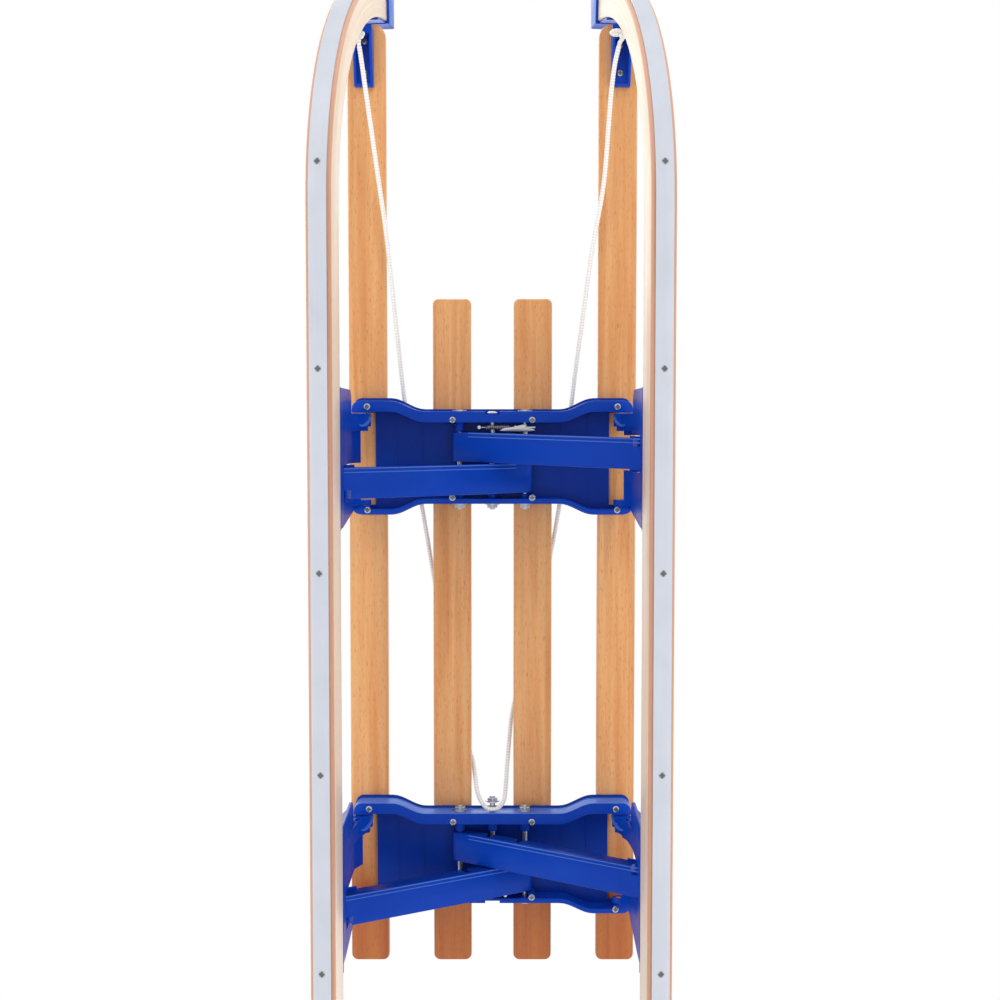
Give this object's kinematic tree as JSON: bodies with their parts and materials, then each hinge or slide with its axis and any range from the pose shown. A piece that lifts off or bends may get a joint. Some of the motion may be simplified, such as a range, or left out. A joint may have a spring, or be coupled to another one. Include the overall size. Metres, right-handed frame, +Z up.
{
  "type": "folding wooden sledge",
  "caption": "Folding wooden sledge: seat slats on cross trays, curved-horn runners with steel rails that fold in under the seat, bracing struts and a tow rope.",
  "frame": {"origin": "on the ground, below the middle of the overall box", "axes": "X across, with +X to the rider's left; -Y towards the horns; +Z up from the ground to the seat"},
  "size_m": [0.3546, 1.1, 0.2785],
  "materials": {
    "slat_wood": "varnished beech, satin",
    "runner_wood": "varnished laminated ash, satin",
    "blue_plastic": "moulded, fine texture",
    "rail_steel": "drawn strip",
    "zinc_steel": "zinc plated",
    "white_rope": "braided cord"
  },
  "bodies": {
    "seat": {"slat_outer_left": "slat_wood", "slat_inner_left": "slat_wood", "slat_inner_right": "slat_wood", "slat_outer_right": "slat_wood", "tray_front": "blue_plastic", "bolt_front_1": "zinc_steel", "bolt_front_2": "zinc_steel", "bolt_front_3": "zinc_steel", "nut_front_1": "zinc_steel", "nut_front_2": "zinc_steel", "nut_front_3": "zinc_steel", "hinge_pin_front_left_fore": "zinc_steel", "hinge_pin_front_left_aft": "zinc_steel", "hinge_pin_front_right_fore": "zinc_steel", "hinge_pin_front_right_aft": "zinc_steel", "spring_post_front": "zinc_steel", "spring_front": "zinc_steel", "tray_rear": "blue_plastic", "bolt_rear_1": "zinc_steel", "bolt_rear_2": "zinc_steel", "bolt_rear_3": "zinc_steel", "nut_rear_1": "zinc_steel", "nut_rear_2": "zinc_steel", "nut_rear_3": "zinc_steel", "hinge_pin_rear_left_fore": "zinc_steel", "hinge_pin_rear_left_aft": "zinc_steel", "hinge_pin_rear_right_fore": "zinc_steel", "hinge_pin_rear_right_aft": "zinc_steel", "spring_post_rear": "zinc_steel", "spring_rear": "zinc_steel", "front_bracket_left": "blue_plastic", "horn_pin_left": "zinc_steel", "front_bracket_right": "blue_plastic", "horn_pin_right": "zinc_steel", "tow_rope": "white_rope"},
    "folding_runner_left": {"runner_left": "runner_wood", "rail_left": "rail_steel", "horn_cap_left": "blue_plastic", "runner_bracket_front_left": "blue_plastic", "runner_bracket_rear_left": "blue_plastic", "rope_knot_left": "white_rope"},
    "folding_runner_right": {"runner_right": "runner_wood", "rail_right": "rail_steel", "horn_cap_right": "blue_plastic", "runner_bracket_front_right": "blue_plastic", "runner_bracket_rear_right": "blue_plastic", "rope_knot_right": "white_rope"},
    "strut_front_left": {"strut_front_left": "blue_plastic"},
    "strut_front_right": {"strut_front_right": "blue_plastic"},
    "strut_rear_left": {"strut_rear_left": "blue_plastic"},
    "strut_rear_right": {"strut_rear_right": "blue_plastic"},
    "latch_front": {"latch_front": "zinc_steel"},
    "latch_rear": {"latch_rear": "zinc_steel"}
  },
  "joints": [
    {"name": "fold_left", "type": "hinge", "parent": "seat", "child": "folding_runner_left", "pos_m": [0.14, 0.1967, 0.197], "axis": [0, 1, 0], "range_deg": [0, 78]},
    {"name": "fold_right", "type": "hinge", "parent": "seat", "child": "folding_runner_right", "pos_m": [-0.14, 0.1967, 0.197], "axis": [0, -1, 0], "range_deg": [0, 55]},
    {"name": "lift_strut_front_left", "type": "hinge", "parent": "seat", "child": "strut_front_left", "pos_m": [-0.036, -0.0369, 0.2004], "axis": [0, -1, 0], "range_deg": [0, 28]},
    {"name": "lift_strut_front_right", "type": "hinge", "parent": "seat", "child": "strut_front_right", "pos_m": [0.036, -0.0029, 0.2004], "axis": [0, 1, 0], "range_deg": [0, 28]},
    {"name": "lift_strut_rear_left", "type": "hinge", "parent": "seat", "child": "strut_rear_left", "pos_m": [-0.036, 0.4072, 0.2004], "axis": [0, -1, 0], "range_deg": [0, 28]},
    {"name": "lift_strut_rear_right", "type": "hinge", "parent": "seat", "child": "strut_rear_right", "pos_m": [0.036, 0.4412, 0.2004], "axis": [0, 1, 0], "range_deg": [0, 28]},
    {"name": "turn_latch_front", "type": "hinge", "parent": "seat", "child": "latch_front", "pos_m": [0.036, -0.0584, 0.2004], "axis": [0, -1, 0], "range_deg": [0, 15], "stiffness_Nm_per_rad": 0.02, "springref_deg": -11.46, "deforming": ["spring_front"]},
    {"name": "turn_latch_rear", "type": "hinge", "parent": "seat", "child": "latch_rear", "pos_m": [-0.036, 0.4604, 0.2004], "axis": [0, 1, 0], "range_deg": [0, 15], "stiffness_Nm_per_rad": 0.02, "springref_deg": -11.46, "deforming": ["spring_rear"]}
  ],
  "couplings": [
    {"joint": "lift_strut_front_left", "follows": "fold_left", "ratio": 0.359},
    {"joint": "lift_strut_front_right", "follows": "fold_right", "ratio": 0.5091},
    {"joint": "lift_strut_rear_left", "follows": "fold_left", "ratio": 0.359},
    {"joint": "lift_strut_rear_right", "follows": "fold_right", "ratio": 0.5091}
  ]
}
